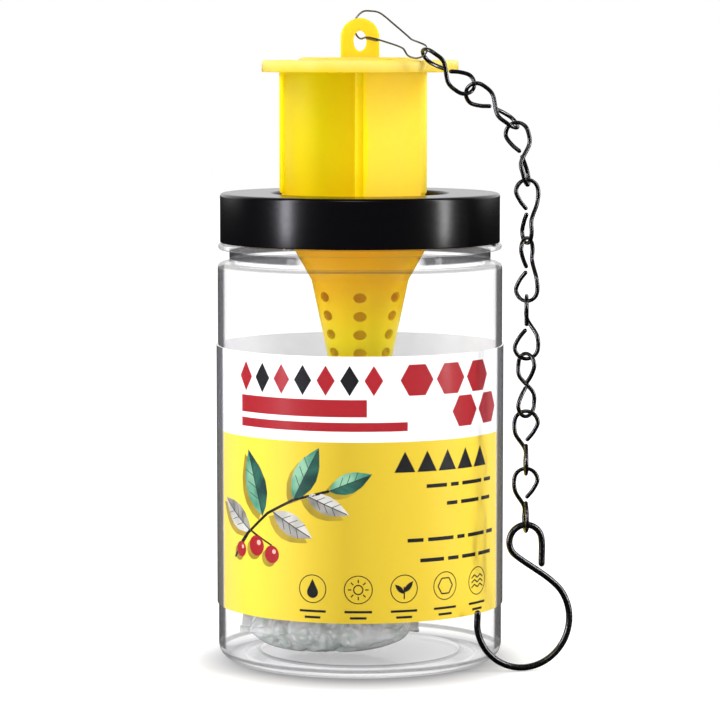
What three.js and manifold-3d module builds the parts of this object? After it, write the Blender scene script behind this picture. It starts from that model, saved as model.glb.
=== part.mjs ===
// A hanging fly trap: a clear jar with a screw cap, a yellow funnel and vaned roof, and a chain with a hook.
// Millimetres, +Z up. The origin is the middle of the jar's base, on the jar's own axis.
import * as THREE from 'three';
import { mergeGeometries, mergeVertices } from 'three/addons/utils/BufferGeometryUtils.js';
import Module from 'manifold-3d';

const wasm = await Module();
wasm.setup();

// Driving dimensions: fits
const seatGap = 0.3;
const labelGap = 0.15;
const cutOverrun = 2;

// Driving dimensions: jar
const jarRadius = 42.5;
const jarWall = 1;
const baseThickness = 1;
const heelRadius = 4.5;
const standingRingWidth = 3.5;
const basePanelInset = 12.5;
const basePanelRise = 1;
const shoulderTop = 118.6;
const shoulderRadius = 2.4;
const recessDepth = 3.5;
const recessHeight = 3.8;
const beadInset = 0.2;
const beadHeight = 1.8;
const beadBevel = 0.5;
const neckWall = 1.7;

// Driving dimensions: screw cap
const capInset = 0.75;
const capHeight = 14.7;
const capPlate = 1.6;
const capWall = 1.65;
const threadRoom = 1.8;
const capHoleRadius = 26.5;
const capEdgeRadius = 1;

// Driving dimensions: funnel
const flangeThickness = 1;
const flangeInset = 0.3;
const plugWall = 1.3;
const plugDepth = 3;
const plugClearance = 0.4;
const funnelWall = 1.2;
const funnelMouthInset = 0.2;
const kneeRadius = 14.5;
const kneeDepth = 22.8;
const outletRadius = 5.2;
const outletDepth = 67;
const holeColumns = 7;
const holeRows = 6;
const holeWidth = 4;
const holeHeight = 3;
const topHoleDrop = 4.6;
const bottomHoleRise = 11.6;
const socketHeight = 6;
const socketDepth = 3;
const socketWall = 1;
const socketDrop = 10;
const socketClearance = 0.25;

// Driving dimensions: vanes
const vaneClearance = 1.2;
const vaneThickness = 1.8;
const vaneBeadRadius = 1.1;
const vaneTipClearance = 0.6;
const vaneFoot = 20;
const postRadius = 2.15;
const hubPlateRadius = 17;
const hubPlateThickness = 1.3;
const entranceHeight = 37.9;
const vaneAngles = [-40, 80, 200];

// Driving dimensions: roof
const roofRadius = 29.25;
const roofPlate = 1.5;
const roofLipHeight = 3.5;
const roofLipWall = 1.4;
const roofEdgeRadius = 0.8;
const bossHeight = 0.8;
const bossWall = 1.1;
const lugWidth = 11.5;
const lugThickness = 2.4;
const lugHeight = 11.6;
const lugHoleWidth = 3.8;
const lugHoleHeight = 6;

// Driving dimensions: label and bait sachet
const labelBottom = 16.5;
const labelHeight = 77.5;
const labelThickness = 0.3;
const sachetLength = 54;
const sachetWidth = 46;
const sachetHeight = 17;
const sachetOffset = [-9, -4];

// Driving dimensions: pin
const pinWireRadius = 0.28;
const pinLength = 19.4;
const pinDepth = 26.4;
const pinHeight = 8.8;
const claspLength = 4.6;
const claspWidth = 1.4;
const claspWall = 0.22;
const claspWrapAngle = 20;

// Driving dimensions: chain and hook
const linkWireRadius = 0.62;
const linkLength = 18.4;
const linkLoopRadius = 3.4;
const linkTwist = -85;
const hookWireRadius = 0.95;
const hookEyeRadius = 4.97;
const hookBendRadius = 14.2;
const hookCentreDrop = 23.1;
const hookCentreShift = 0.6;
const hookTipLength = 6.7;
const hookOpenAngle = 190;
const hookTurn = 15;

// Numbers of facets
const roundSteps = 40;
const arcSteps = 2;
const heelSteps = 3;
const linkSteps = 31;
const linkSides = 6;
const holeSides = 6;
const lugSteps = 12;
const claspSteps = 10;
const beadSides = 10;
const sachetSides = 20;
const sachetRows = 10;

// The chain's lie: each link's slope below the horizontal, its lean towards the front and its roll, in degrees.
const chainAngles = [
  [39, 3.5, -66],
  [39, 2, -23],
  [78, 1.5, -19],
  [90, 0, 16],
  [90, 0, 58],
  [90, 0, 87],
  [90, 0, 130],
  [90, 0, 175],
  [90, 0, 180],
];

// Where a link's wire bends, as shares of the loop's radius and of its centre's height.
const linkTailShares = [0.12, 0.62, 0.52];
const linkBackShares = [0.92, 0.45];

// Radii that the pieces share
const basePanelRadius = jarRadius - basePanelInset;
const recessRadius = jarRadius - recessDepth;
const beadRadius = jarRadius - beadInset;
const capRadius = jarRadius - capInset;
const neckRadius = capRadius - capWall - threadRoom;
const funnelMouthRadius = capHoleRadius - funnelMouthInset;
const vaneRadius = capHoleRadius - vaneClearance;

// Heights that the pieces share
const beadBottom = shoulderTop + recessHeight;
const beadTop = beadBottom + beadHeight;
const capBottom = beadTop + seatGap;
const capTop = capBottom + capHeight;
const capUnderside = capTop - capPlate;
const flangeTop = capUnderside - seatGap;
const flangeBottom = flangeTop - flangeThickness;
const mouthHeight = flangeBottom - seatGap;
const neckBore = neckRadius - neckWall;
const roofUnderside = capTop + entranceHeight;
const roofTop = roofUnderside + roofPlate;
const bossTop = roofTop + bossHeight;
const lugTop = bossTop + lugHeight;
const lugHoleCentre = lugTop - lugWidth / 2 - lugHoleHeight / 6;

const radians = THREE.MathUtils.degToRad;
const point = (across, up) => new THREE.Vector2(across, up);

// Points on an arc, from one angle to the other, in degrees.
function arc(across, up, radius, from, to, steps = arcSteps) {
  const points = [];
  for (let i = 0; i <= steps; i += 1) {
    const angle = radians(from + ((to - from) * i) / steps);
    points.push(point(across + radius * Math.cos(angle), up + radius * Math.sin(angle)));
  }
  return points;
}

// A geometry with shared vertices and no collapsed faces, as a closed body needs.
function closed(geometry) {
  geometry.deleteAttribute('normal');
  geometry.deleteAttribute('uv');
  const merged = mergeVertices(geometry, 1e-4);
  const corners = merged.index.array;
  const kept = [];
  for (let i = 0; i < corners.length; i += 3) {
    const [a, b, c] = [corners[i], corners[i + 1], corners[i + 2]];
    if (a !== b && b !== c && c !== a) kept.push(a, b, c);
  }
  merged.setIndex(kept);
  return merged;
}

function solid(geometry) {
  const body = closed(geometry);
  return new wasm.Manifold(
    new wasm.Mesh({
      numProp: 3,
      vertProperties: body.attributes.position.array,
      triVerts: new Uint32Array(body.index.array),
    }),
  );
}

function geometryOf(manifold) {
  const mesh = manifold.getMesh();
  const geometry = new THREE.BufferGeometry();
  geometry.setAttribute('position', new THREE.BufferAttribute(mesh.vertProperties, 3));
  geometry.setIndex(new THREE.BufferAttribute(mesh.triVerts, 1));
  return geometry;
}

// A profile of points (radius, height), run anticlockwise, turned about Z.
function revolve(profile, steps = roundSteps) {
  const geometry = new THREE.LatheGeometry(profile, steps);
  geometry.rotateX(Math.PI / 2);
  return closed(geometry);
}

// A profile that closes on itself away from the axis.
function revolveRing(profile, steps = roundSteps) {
  return revolve([...profile, profile[0].clone()], steps);
}

// A round wire along a curve.
function wire(curve, radius, steps, sides) {
  const section = new THREE.Shape(arc(0, 0, radius, 0, 360 - 360 / sides, sides - 1));
  return closed(new THREE.ExtrudeGeometry(section, { extrudePath: curve, steps, bevelEnabled: false }));
}

// An upright plate: an outline of points (radius, height), as thick as given, on a radial plane.
function radialPlate(outline, thickness, angle, offset = 0) {
  const geometry = new THREE.ExtrudeGeometry(new THREE.Shape(outline), {
    depth: thickness,
    bevelEnabled: false,
  });
  geometry.rotateX(Math.PI / 2);
  geometry.translate(0, offset + thickness / 2, 0);
  geometry.rotateZ(radians(angle));
  return geometry;
}

function jarGeometry() {
  const bore = jarRadius - jarWall;
  const ringOuter = jarRadius - heelRadius;
  const ringInner = ringOuter - standingRingWidth;
  const shoulderArc = [jarRadius - shoulderRadius, shoulderTop - shoulderRadius];
  return revolve([
    point(0, basePanelRise),
    point(basePanelRadius, basePanelRise),
    point(ringInner, 0),
    ...arc(ringOuter, heelRadius, heelRadius, -90, 0, heelSteps),
    ...arc(...shoulderArc, shoulderRadius, 0, 90),
    point(recessRadius, shoulderTop),
    point(recessRadius, beadBottom),
    point(beadRadius - beadBevel, beadBottom),
    point(beadRadius, beadBottom + beadBevel),
    point(beadRadius, beadTop - beadBevel),
    point(beadRadius - beadBevel, beadTop),
    point(neckRadius, beadTop),
    point(neckRadius, mouthHeight),
    point(neckBore, mouthHeight),
    point(neckBore, shoulderTop - jarWall),
    ...arc(...shoulderArc, shoulderRadius - jarWall, 90, 0),
    ...arc(ringOuter, heelRadius, heelRadius - jarWall, 0, -90, heelSteps),
    point(ringInner, baseThickness),
    point(basePanelRadius, basePanelRise + baseThickness),
    point(0, basePanelRise + baseThickness),
  ]);
}

function screwCapGeometry() {
  const skirtBore = capRadius - capWall;
  return revolveRing([
    point(skirtBore, capBottom),
    ...arc(capRadius - capEdgeRadius, capBottom + capEdgeRadius, capEdgeRadius, -90, 0),
    ...arc(capRadius - capEdgeRadius, capTop - capEdgeRadius, capEdgeRadius, 0, 90),
    ...arc(capHoleRadius + capEdgeRadius, capTop - capEdgeRadius, capEdgeRadius, 90, 180),
    point(capHoleRadius, capUnderside),
    point(skirtBore, capUnderside),
  ]);
}

// Radius of the funnel's inner wall at a height.
function funnelBore(height) {
  const kneeHeight = mouthHeight - kneeDepth;
  const share = (height - kneeHeight) / (flangeTop - kneeHeight);
  return kneeRadius - funnelWall + share * (funnelMouthRadius - kneeRadius + funnelWall);
}

function funnelGeometry() {
  const kneeHeight = mouthHeight - kneeDepth;
  const outletHeight = mouthHeight - outletDepth;
  const flangeRadius = neckRadius - flangeInset;
  const plugRadius = neckBore - plugClearance;
  const outside = [
    point(flangeRadius, flangeBottom),
    point(flangeRadius, flangeTop),
    point(funnelMouthRadius, flangeTop),
    point(kneeRadius - funnelWall, kneeHeight),
    point(outletRadius - funnelWall, outletHeight),
    point(outletRadius, outletHeight),
    point(kneeRadius, kneeHeight),
    point(funnelMouthRadius + funnelWall, flangeBottom),
    point(plugRadius - plugWall, flangeBottom),
    point(plugRadius - plugWall, flangeBottom - plugDepth),
    point(plugRadius, flangeBottom - plugDepth),
    point(plugRadius, flangeBottom),
  ];
  const shell = solid(revolveRing(outside));
  const filled = solid(
    revolve([
      point(0, outletHeight),
      point(outletRadius, outletHeight),
      point(kneeRadius, kneeHeight),
      point(funnelMouthRadius + funnelWall, flangeBottom),
      point(0, flangeBottom),
    ]),
  );
  return geometryOf(shell.add(vaneSockets().intersect(filled)).subtract(coneHoles(kneeHeight)));
}

// Pairs of ribs inside the funnel that hold the vanes' feet.
function vaneSockets() {
  const top = flangeBottom - socketDrop;
  const bottom = top - socketHeight;
  const outline = [
    point(funnelBore(bottom) - socketDepth, bottom),
    point(funnelBore(bottom) + cutOverrun, bottom),
    point(funnelBore(top) + cutOverrun, top),
    point(funnelBore(top) - socketDepth, top),
  ];
  const offset = (vaneThickness + socketWall) / 2 + socketClearance;
  const plates = vaneAngles.flatMap((angle) => [
    radialPlate(outline, socketWall, angle, offset),
    radialPlate(outline, socketWall, angle, -offset),
  ]);
  return solid(mergeGeometries(plates));
}

// Columns of round holes down the lower cone.
function coneHoles(kneeHeight) {
  const cutters = [];
  const length = funnelWall + 2 * cutOverrun;
  const coneHeight = outletDepth - kneeDepth;
  const slope = (kneeRadius - outletRadius) / coneHeight;
  const holePitch = (coneHeight - topHoleDrop - bottomHoleRise) / (holeRows - 1);
  for (let row = 0; row < holeRows; row += 1) {
    const drop = topHoleDrop + row * holePitch;
    for (let column = 0; column < holeColumns; column += 1) {
      const hole = new THREE.CylinderGeometry(holeHeight / 2, holeHeight / 2, length, holeSides);
      hole.rotateZ(Math.PI / 2);
      hole.scale(1, holeWidth / holeHeight, 1);
      hole.translate(kneeRadius - funnelWall / 2 - slope * drop, 0, kneeHeight - drop);
      hole.rotateZ((2 * Math.PI * (column + 1 / 4)) / holeColumns);
      cutters.push(hole.toNonIndexed());
    }
  }
  return solid(mergeGeometries(cutters));
}

function vanesGeometry() {
  const top = roofUnderside - seatGap;
  const foot = capTop - vaneFoot;
  const bend = flangeTop;
  const beadCentre = vaneRadius - vaneBeadRadius;
  const outline = [
    point(0, foot),
    point(funnelBore(foot) - vaneTipClearance, foot),
    point(Math.min(vaneRadius, funnelBore(bend) - vaneTipClearance), bend),
    point(vaneRadius, bend + vaneTipClearance),
    point(vaneRadius, top),
    point(0, top),
  ];
  const hubTop = bossTop - roofPlate - seatGap;
  let body = solid(
    revolve([
      point(0, foot),
      point(postRadius, foot),
      point(postRadius, hubTop - hubPlateThickness),
      point(hubPlateRadius, hubTop - hubPlateThickness),
      point(hubPlateRadius, hubTop),
      point(0, hubTop),
    ], roundSteps / 2),
  );
  for (const angle of vaneAngles) {
    body = body.add(solid(radialPlate(outline, vaneThickness, angle)));
    const bead = new THREE.CylinderGeometry(vaneBeadRadius, vaneBeadRadius, top - capTop, beadSides);
    bead.rotateX(Math.PI / 2);
    bead.translate(beadCentre, 0, (top + capTop) / 2);
    bead.rotateZ(radians(angle));
    body = body.add(solid(bead));
  }
  return geometryOf(body);
}

function roofGeometry() {
  const lipBore = roofRadius - roofLipWall;
  const recess = hubPlateRadius + seatGap;
  const bossRadius = recess + bossWall;
  const body = solid(
    revolve([
      point(0, bossTop - roofPlate),
      point(recess, bossTop - roofPlate),
      point(recess, roofUnderside),
      point(lipBore, roofUnderside),
      point(lipBore, roofTop - roofLipHeight),
      point(roofRadius, roofTop - roofLipHeight),
      ...arc(roofRadius - roofEdgeRadius, roofTop - roofEdgeRadius, roofEdgeRadius, 0, 90),
      point(bossRadius, roofTop),
      point(bossRadius - bossHeight, bossTop),
      point(0, bossTop),
    ]),
  );
  return geometryOf(body.add(lug()));
}

// The upright lug with its oval hole, rooted in the roof's boss.
function lug() {
  const shoulder = lugTop - lugWidth / 2;
  const root = bossTop - roofPlate / 2;
  const outline = new THREE.Shape([
    point(-lugWidth / 2, root),
    point(lugWidth / 2, root),
    ...arc(0, shoulder, lugWidth / 2, 0, 180, lugSteps),
  ]);
  const hole = new THREE.Path();
  hole.absellipse(0, lugHoleCentre, lugHoleWidth / 2, lugHoleHeight / 2, 0, 2 * Math.PI, true);
  outline.holes.push(hole);
  const plate = new THREE.ExtrudeGeometry(outline, {
    depth: lugThickness,
    bevelEnabled: false,
    curveSegments: lugSteps,
  });
  plate.rotateX(Math.PI / 2);
  plate.translate(0, lugThickness / 2, 0);
  return solid(plate);
}

function labelGeometry() {
  const inner = jarRadius + labelGap;
  const outer = inner + labelThickness;
  return revolveRing([
    point(inner, labelBottom),
    point(outer, labelBottom),
    point(outer, labelBottom + labelHeight),
    point(inner, labelBottom + labelHeight),
  ]);
}

// A full, soft-cornered bag.
function sachetGeometry() {
  const geometry = new THREE.SphereGeometry(1, sachetSides, sachetRows);
  const places = geometry.attributes.position;
  const soften = (value) => Math.sign(value) * Math.abs(value) ** 0.7;
  for (let i = 0; i < places.count; i += 1) {
    const x = (soften(places.getX(i)) * sachetLength) / 2;
    const y = (soften(places.getZ(i)) * sachetWidth) / 2;
    const z = (soften(places.getY(i)) * sachetHeight) / 2;
    places.setXYZ(i, x, -y, z);
  }
  return closed(geometry);
}

// The pin's wire, from the clasp along the lower leg, round the bulb, over the lug and back through its hole.
// Each row gives shares of the pin's length to the right, depth to the front and height above the lug's hole.
const pinRouteShares = [
  [0.253, 0.212, 0.057],
  [0.353, 0.303, -0.01],
  [0.593, 0.549, -0.19],
  [0.655, 0.625, -0.27],
  [0.714, 0.7, -0.47],
  [0.789, 0.795, -0.55],
  [0.871, 0.909, -0.56],
  [0.959, 0.985, -0.47],
  [1, 1, -0.31],
  [0.98, 0.985, -0.165],
  [0.892, 0.909, -0.06],
  [0.773, 0.758, 0.05],
  [0.714, 0.682, 0.165],
  [0.52, 0.455, 0.54],
  [0.294, 0.19, 0.94],
  [0.17, 0.057, 1],
  [0.046, -0.038, 0.985],
  [-0.046, -0.091, 0.81],
  [-0.093, -0.106, 0.61],
  [-0.088, -0.102, 0.37],
  [-0.039, -0.064, 0.153],
  [0.013, 0, 0.074],
  [0.098, 0.083, 0.12],
  [0.149, 0.129, 0.1],
];

// The clasp's two ends and the bulb's far end, in the same shares.
const claspShares = [
  [0.098, 0.085, 0.13],
  [0.278, 0.23, 0.04],
];
const bulbEndShares = [1, 1, -0.31];

function pinPlace([along, out, up]) {
  return new THREE.Vector3(along * pinLength, -out * pinDepth, lugHoleCentre + up * pinHeight);
}

// The folded strip that clasps the wire's two ends.
function claspGeometry() {
  const outer = claspWidth / 2;
  const inner = outer - claspWall;
  const outline = new THREE.Shape([
    ...arc(0, 0, outer, -180 - claspWrapAngle, claspWrapAngle, claspSteps),
    ...arc(0, 0, inner, claspWrapAngle, -180 - claspWrapAngle, claspSteps),
  ]);
  const geometry = new THREE.ExtrudeGeometry(outline, { depth: claspLength, bevelEnabled: false });
  geometry.translate(0, 0, -claspLength / 2);
  return closed(geometry);
}

// A jack-chain link: two wire loops on planes turned to each other, joined by a straight back.
// Its length runs along Z, and its upper loop lies on the XZ plane with the back on the +X side.
function linkCurve() {
  const loopCentre = linkLength / 2 - linkLoopRadius;
  const loop = [
    point(-linkLoopRadius * linkTailShares[0], linkWireRadius + seatGap),
    point(-linkLoopRadius * linkTailShares[1], loopCentre * linkTailShares[2]),
    ...arc(0, loopCentre, linkLoopRadius, 180, 0, 6),
    point(linkLoopRadius * linkBackShares[0], loopCentre * linkBackShares[1]),
  ];
  const upper = loop.map((p) => new THREE.Vector3(p.x, 0, p.y));
  const lower = loop.map((p) => new THREE.Vector3(p.x, 0, -p.y));
  lower.forEach((p) => p.applyAxisAngle(new THREE.Vector3(0, 0, 1), radians(linkTwist)));
  return new THREE.CatmullRomCurve3([...upper, ...lower.reverse()]);
}

// The way that a link runs down the chain.
function linkDirection([slope, lean]) {
  const level = Math.cos(radians(lean));
  return new THREE.Vector3(
    Math.cos(radians(slope)) * level,
    -Math.sin(radians(lean)),
    -Math.sin(radians(slope)) * level,
  );
}

// An S-hook's centre line on the XZ plane, hung from z = 0: a straight tip, an eye, a diagonal and a wide bend.
function hookCurve() {
  const eye = point(0, -hookEyeRadius);
  const bend = point(-hookCentreShift, eye.y - hookCentreDrop);
  const apart = bend.clone().sub(eye);
  const spread = Math.acos((hookEyeRadius + hookBendRadius) / apart.length());
  const leave = THREE.MathUtils.radToDeg(apart.angle() - spread);
  const line = [
    point(hookEyeRadius, eye.y - hookTipLength),
    ...arc(eye.x, eye.y, hookEyeRadius, 0, leave, 10),
    ...arc(bend.x, bend.y, hookBendRadius, leave - 180, -hookOpenAngle, 12),
  ];
  return new THREE.CatmullRomCurve3(line.map((p) => new THREE.Vector3(p.x, 0, p.y)));
}

const material = (color, roughness, extra = {}) =>
  new THREE.MeshStandardMaterial({ color, roughness, ...extra });
const clearPlastic = material(0xe8eef0, 0.08, { transparent: true, opacity: 0.3 });
const blackPlastic = material(0x0d0c0d, 0.16);
const yellowPlastic = material(0xfbd41a, 0.35);
const labelFilm = material(0xf0c92c, 0.45);
const sachetFilm = material(0xdfe6dc, 0.2, { transparent: true, opacity: 0.6 });
const pinSteel = material(0x55575a, 0.3, { metalness: 1 });
const blackSteel = material(0x1b1b1c, 0.3, { metalness: 0.7 });

const trap = new THREE.Group();

function add(name, geometry, finish, parent = trap) {
  const mesh = new THREE.Mesh(geometry, finish);
  mesh.name = name;
  parent.add(mesh);
  return mesh;
}

add('jar', jarGeometry(), clearPlastic);
add('label', labelGeometry(), labelFilm);
add('funnel', funnelGeometry(), yellowPlastic);
add('screw_cap', screwCapGeometry(), blackPlastic);
add('vanes', vanesGeometry(), yellowPlastic);
add('roof', roofGeometry(), yellowPlastic);

const sachet = add('bait_sachet', sachetGeometry(), sachetFilm);
const sachetFloor = basePanelRise + baseThickness + seatGap;
sachet.position.set(...sachetOffset, sachetFloor + sachetHeight / 2);

// Pin: its wire follows the route, and the clasp lies along the route's two ends.
const pinRoute = new THREE.CatmullRomCurve3(pinRouteShares.map(pinPlace));
add('pin_wire', wire(pinRoute, pinWireRadius, 64, 5), pinSteel);
const [claspNear, claspFar] = claspShares.map(pinPlace);
const clasp = add('pin_clasp', claspGeometry(), pinSteel);
clasp.position.copy(claspNear).lerp(claspFar, 1 / 2);
clasp.up.set(0, 0, 1);
clasp.lookAt(claspNear);

// Chain: each link hangs in the one before it, and the first in the pin's bulb.
const linkGeometry = wire(linkCurve(), linkWireRadius, linkSteps, linkSides);
const wiresApart = 2 * linkWireRadius + seatGap;
const topWire = pinPlace(bulbEndShares);
topWire.x -= linkWireRadius + pinWireRadius + seatGap;
chainAngles.forEach((angles, index) => {
  const along = linkDirection(angles);
  const up = along.clone().negate();
  const back = new THREE.Vector3(0, 1, 0).addScaledVector(up, -up.y).normalize();
  const right = back.clone().cross(up);
  const link = add(`chain_link_${index + 1}`, linkGeometry, blackSteel);
  link.position.copy(topWire).addScaledVector(along, linkLength / 2);
  link.quaternion.setFromRotationMatrix(new THREE.Matrix4().makeBasis(right, back, up));
  link.rotateZ(radians(angles[2]));
  topWire.copy(link.position).addScaledVector(along, linkLength / 2);
  along.add(linkDirection(chainAngles[index + 1] ?? angles)).normalize();
  topWire.addScaledVector(along, -wiresApart);
});

const hook = add('s_hook', wire(hookCurve(), hookWireRadius, 44, 7), blackSteel);
hook.position.copy(topWire);
hook.position.z += hookWireRadius - linkWireRadius;
hook.rotation.z = radians(hookTurn);

export default trap;
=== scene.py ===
import math
import random

import bmesh
import bpy
from mathutils import Matrix, Vector
from mathutils import noise as blender_noise


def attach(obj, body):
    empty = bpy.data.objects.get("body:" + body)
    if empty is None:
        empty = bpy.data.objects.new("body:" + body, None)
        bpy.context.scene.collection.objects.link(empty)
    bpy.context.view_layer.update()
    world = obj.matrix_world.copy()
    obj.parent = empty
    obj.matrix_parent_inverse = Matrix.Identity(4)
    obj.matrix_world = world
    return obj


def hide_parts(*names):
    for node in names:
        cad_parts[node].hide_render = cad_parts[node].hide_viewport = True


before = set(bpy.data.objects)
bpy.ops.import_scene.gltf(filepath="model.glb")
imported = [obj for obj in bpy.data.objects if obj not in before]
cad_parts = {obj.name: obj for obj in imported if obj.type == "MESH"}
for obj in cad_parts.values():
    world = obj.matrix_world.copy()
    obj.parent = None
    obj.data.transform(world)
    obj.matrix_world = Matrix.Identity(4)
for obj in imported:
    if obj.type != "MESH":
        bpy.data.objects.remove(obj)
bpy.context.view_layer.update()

# Sizes are in millimetres and angles in degrees; lamps, and depths under a surface, are in metres.
MM = 0.001

# Facets
TURN_STEPS = 160
FILLET_STEPS = 5
FILLET_ROOM = 2.05
CURVE_STEPS = 14
WIRE_SIDES = 20
DISC_SIDES = 40
RINGED_SIDES = 28
BEVEL_STEPS = 3
DOME_ANGLES = (30, 60, 80)
SMOOTH_ANGLE = 40
JOINED_SMOOTH_ANGLE = 35
FILM_SMOOTH_ANGLE = 60
GRAIN_SMOOTH_ANGLE = 80
BEVEL_ANGLE = 50

# Jar
JAR_RADIUS = 42.5
JAR_WALL = 1
BASE_RISE = 1
BASE_THICKNESS = 1
BASE_PANEL_RADIUS = 30
HEEL_RADIUS = 4.5
RING_WIDTH = 3.5
SHOULDER_TOP = 118.6
SHOULDER_ROUND = 2.4
RECESS_RADIUS = 39
BEAD_RADIUS = 42.3
BEAD_BOTTOM = 122.4
BEAD_TOP = 124.2
NECK_RADIUS = 38.3
NECK_WALL = 1.7
MOUTH_HEIGHT = 136
THREAD_PITCH = 5
THREAD_TURNS = 1.4
THREAD_HEIGHT = 1.1
THREAD_DROP = 3
SMALL_ROUND = 0.3
EDGE_ROUND = 0.7

# Screw cap
CAP_RADIUS = 41.75
CAP_BOTTOM = 124.5
CAP_TOP = 139.2
CAP_PLATE = 1.6
CAP_WALL = 1.65
CAP_HOLE_RADIUS = 26.5
CAP_ROUND = 1

# Funnel
FLANGE_TOP = 137.3
FLANGE_BOTTOM = 136.3
FLANGE_RADIUS = 38
PLUG_RADIUS = 36.2
PLUG_WALL = 1.3
PLUG_DEPTH = 3
FUNNEL_WALL = 1.2
FUNNEL_MOUTH_RADIUS = 26.3
KNEE_RADIUS = 14.5
KNEE_HEIGHT = 113.2
OUTLET_RADIUS = 5.2
OUTLET_HEIGHT = 69
HOLE_COLUMNS = 7
HOLE_ROWS = 6
HOLE_TURN = 90 / 7
HOLE_WIDTH = 4
HOLE_HEIGHT = 3
HOLE_PITCH = 5.6
HOLE_DROP = 4.6
SOCKET_TOP = 126.3
SOCKET_HEIGHT = 6
SOCKET_DEPTH = 3
SOCKET_WALL = 1
SOCKET_GAP = 0.25

# Vanes and roof
VANE_ANGLES = (-40, 80, 200)
VANE_RADIUS = 25.3
VANE_THICKNESS = 1.8
VANE_FOOT = 119.2
VANE_TOP = 176.8
VANE_BEAD = 1.1
VANE_TIP_GAP = 0.6
POST_RADIUS = 2.15
HUB_RADIUS = 17
HUB_THICKNESS = 1.3
ROOF_RADIUS = 29.25
ROOF_PLATE = 1.5
ROOF_TOP = 178.6
ROOF_LIP_HEIGHT = 3.5
ROOF_LIP_WALL = 1.4
ROOF_ROUND = 0.8
BOSS_HEIGHT = 0.8
BOSS_WALL = 1.1
SEAT_GAP = 0.3
LUG_WIDTH = 11.5
LUG_THICKNESS = 2.4
LUG_HEIGHT = 11.6
LUG_HOLE_WIDTH = 3.8
LUG_HOLE_HEIGHT = 6
LUG_BEVEL = 0.35

# Label; its print is placed by the length round the jar and the height above the base
LABEL_BOTTOM = 16.5
LABEL_TOP = 94
LABEL_RADIUS = 42.65
LABEL_THICKNESS = 0.16
EDGE_SHADE_SHEET_RADIUS = 42.945
LABEL_BAND_BOTTOM = 69.2
LABEL_BACK = 1
PRINT_LIFT = 0.03
PRINT_STEP = 1.6
HEXAGONS = ((17, 87), (28.5, 87), (40, 87), (34.2, 77.2), (45.6, 77.2))
HEXAGON_RADIUS = 5.2
STRIPES = (((-40, 73.6), (14, 73.6), 2.6), ((-40, 79), (2, 79), 5))
LOZENGES = (-38, -31, -24, -17, -10, -3, 4)
LOZENGE_HEIGHT = 87
LOZENGE_SIZE = (4.4, 0.62)
PEAKS = (10, 17, 24, 31, 38)
PEAK_WIDTH = 6.4
PEAK_HEIGHTS = (60.3, 66.4)
DASH_ROWS = (
    (56, 20, (7, 3, 9, 4)),
    (50.6, 27, (4, 8, 5)),
    (40.4, 14, (5, 9, 3, 8, 4)),
    (34.4, 18, (8, 4, 6, 7)),
)
DASH_WIDTH = 1.1
DASH_GAP = 1.5
CAPTION_ROWS = ((19.9, 4), (18.1, 2.4))
CAPTION_WIDTH = 0.7
ICONS = (-14, -0.5, 13, 26.5, 40)
ICON_HEIGHT = 26.4
ICON_RING = (4.2, 0.28)
ICON_STROKE = 0.4
SUN_STROKE = 0.35
SUN_RAYS = 8
LEAF_SHARES = ((0.12, 0.5), (0.3, 0.9), (0.48, 1), (0.68, 0.8), (0.86, 0.38))
SPRIG_STEM = ((-44, 33), (-37, 41), (-29, 47.5), (-20, 52), (-9, 55))
SPRIG_BRANCH = (-36.4, 42)
SPRIG_LEAVES = (
    ((-31, 46.5), (-37, 65.5), 8.5),
    ((-20, 52), (-12, 67.5), 7.5),
    ((-9, 55), (3.5, 60), 6),
    ((-36, 41.5), (-50, 50), 7),
    ((-27, 48), (-14, 41), 6.5),
    ((-16, 53.5), (-3, 48), 5.5),
)
SPRIG_BERRIES = ((-33.5, 37.5, 3), (-27.5, 35.5, 2.6), (-40.5, 35.8, 2.3))
VEIN_SHARES = (0.25, 0.42, 0.6)
STEM_WIDTH = 0.8
BRANCH_WIDTH = 0.5
RIB_WIDTH = 0.3
VEIN_WIDTH = 0.2
LEAF_SHADOW = (-1.6, -1.4)
BERRY_SHADOW = -1.2

# Bait sachet
SACHET_LENGTH = 53
SACHET_WIDTH = 45
SACHET_HEIGHT = 16
SACHET_OFFSET = (-9, -4)
SACHET_FLOOR = 2.5
SACHET_FILM = 0.12
SACHET_FOLD = 3.4
SACHET_SEAM_SHARE = 0.88
SACHET_SEAM_WAVE = 4
SACHET_WAVE_TURN = 5
SACHET_WAVE_START = 0.7
SACHET_COLUMNS = 110
SACHET_ROWS = 70
SACHET_PINCH = 0.1
SACHET_CROWN_POWER = 2.6
SACHET_END_POWER = 0.55
FOLD_SCALES = (3.2, 2.6, 1.7)
FOLD_OCTAVES = 3
FINE_FOLD_SCALE = 4.2
FOLD_LEVEL = 0.6
FOLD_FREE_DEPTH = 2
CRIMP_PITCH = 0.9
CRIMP_DEPTH_SHARE = 0.9
SACHET_SEED = 7
GRAIN_COUNT = 2200
GRAIN_RADII = (0.45, 0.85)
GRAIN_ACROSS_SHARE = 0.78
GRAIN_OUT_SHARE = 0.86
GRAIN_DEPTH_SHARE = 0.86
GRAIN_RISE_SHARES = (-1, 0.75)
GRAIN_STRETCHES = ((0.8, 1.3), (0.8, 1.2), (0.7, 1))

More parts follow.
